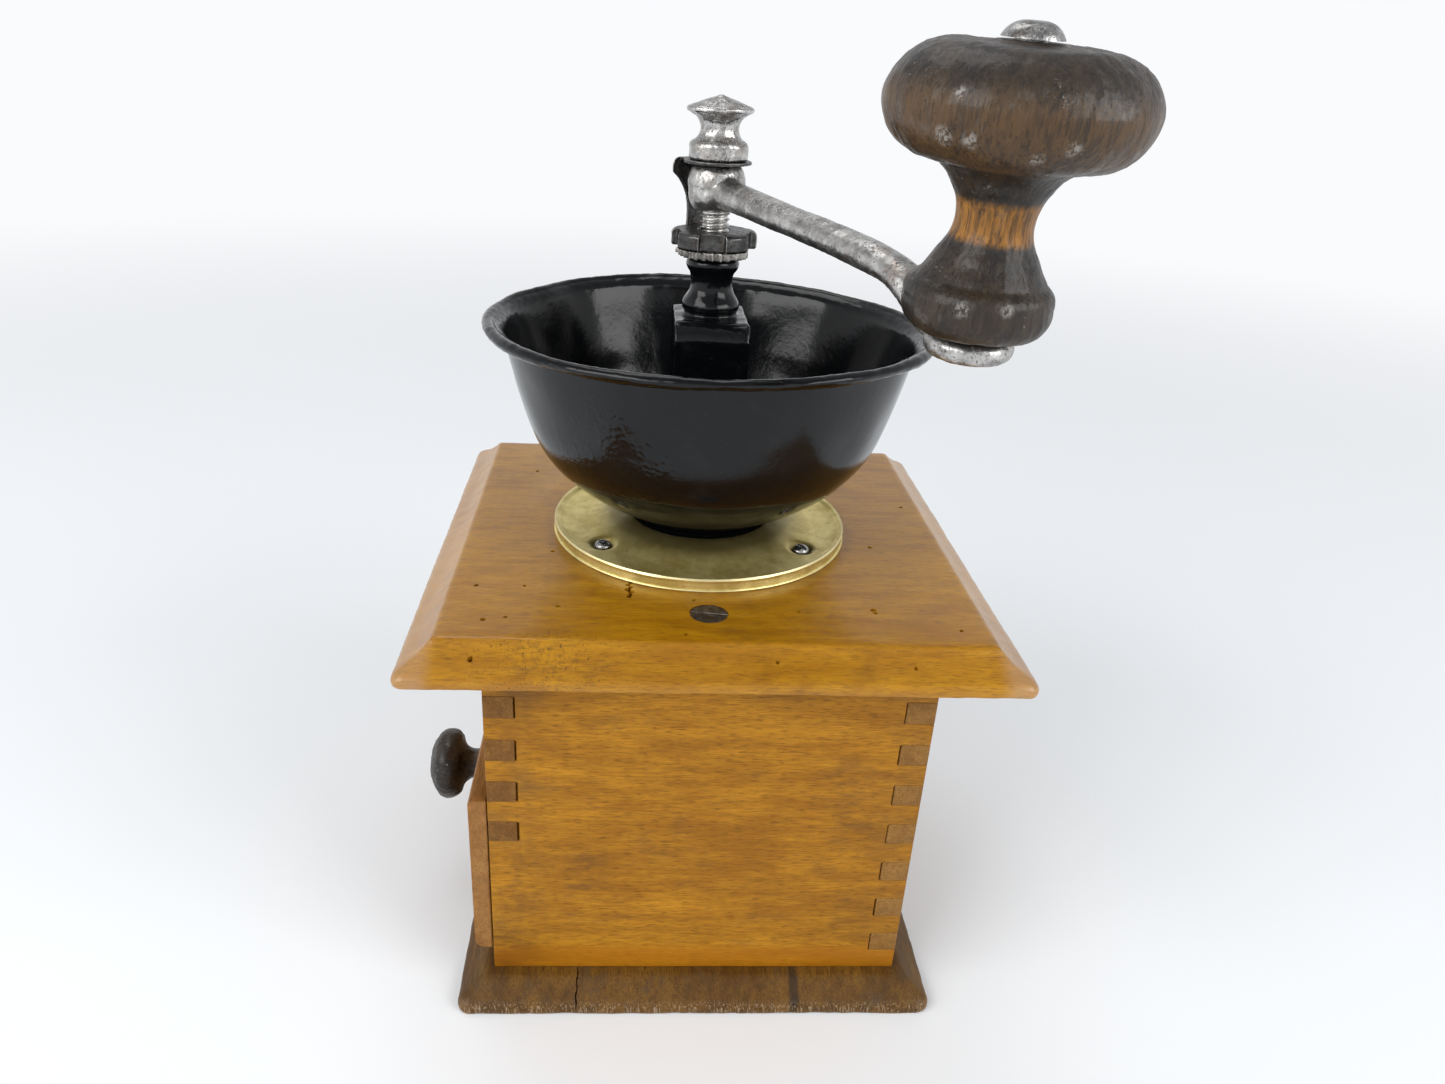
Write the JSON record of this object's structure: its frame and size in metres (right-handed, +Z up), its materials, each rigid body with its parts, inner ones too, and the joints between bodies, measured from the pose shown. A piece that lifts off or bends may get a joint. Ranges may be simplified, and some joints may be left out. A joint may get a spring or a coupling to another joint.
{
  "type": "hand crank coffee grinder",
  "caption": "Box coffee mill: finger-jointed wooden box with a drawer, open iron bowl on a brass ring, bridged burr mill and a crank with a turned knob.",
  "frame": {"origin": "on the spindle's axis, in the plane that the base board rests on", "axes": "+Z up along the spindle; the drawer opens towards -Y; the long side walls face +X and -X"},
  "size_m": [0.1986, 0.1661, 0.2646],
  "materials": {
    "base_wood": "worn grey-brown beech",
    "box_wood": "oiled honey beech",
    "top_wood": "varnished amber beech",
    "drawer_front_wood": "oiled honey beech",
    "drawer_wood": "bare beech",
    "knob_wood": "dark stained, worn through to amber",
    "black_enamel": "black gloss over sheet iron",
    "black_iron": "black gloss over cast iron",
    "brass": "aged, brown in the hollows",
    "burr_steel": "cast, ground teeth",
    "steel": "worn bright",
    "forged_steel": "forged, pitted, satin",
    "dark_steel": "dark, oiled",
    "screw_steel": "dull"
  },
  "bodies": {
    "body": {"base_plate": "base_wood", "base_screws": "screw_steel", "near_side_wall": "box_wood", "far_side_wall": "box_wood", "front_board": "box_wood", "back_wall": "box_wood", "top_plate": "top_wood", "top_plate_screws": "screw_steel", "flange_ring": "brass", "flange_screws": "screw_steel", "hopper_bowl": "black_enamel", "mill_frame": "black_iron", "outer_burr": "burr_steel", "lower_bearing": "dark_steel", "lower_bearing_screws": "screw_steel", "serrated_washer": "steel"},
    "crank": {"spindle": "steel", "inner_burr": "burr_steel", "burr_pin": "screw_steel", "adjusting_nut": "dark_steel", "locking_plate": "dark_steel", "crank_arm": "forged_steel", "finial_nut": "forged_steel", "knob_pin": "forged_steel"},
    "knob": {"crank_knob": "knob_wood"},
    "drawer": {"drawer_front": "drawer_front_wood", "drawer_near_side": "drawer_wood", "drawer_far_side": "drawer_wood", "drawer_back": "drawer_wood", "drawer_bottom": "drawer_wood", "drawer_nails": "screw_steel", "drawer_pull": "knob_wood", "drawer_pull_screw": "screw_steel"}
  },
  "joints": [
    {"name": "crank_turn", "type": "hinge", "parent": "body", "child": "crank", "pos_m": [0, 0, 0.2], "axis": [0, 0, 1], "continuous": true},
    {"name": "knob_spin", "type": "hinge", "parent": "crank", "child": "knob", "pos_m": [0.09444, 0.04284, 0.2116], "axis": [0.0635, 0.0288, 0.9976], "continuous": true},
    {"name": "drawer_slide", "type": "slide", "parent": "body", "child": "drawer", "axis": [0, -1, 0], "range_m": [0, 0.09]}
  ]
}
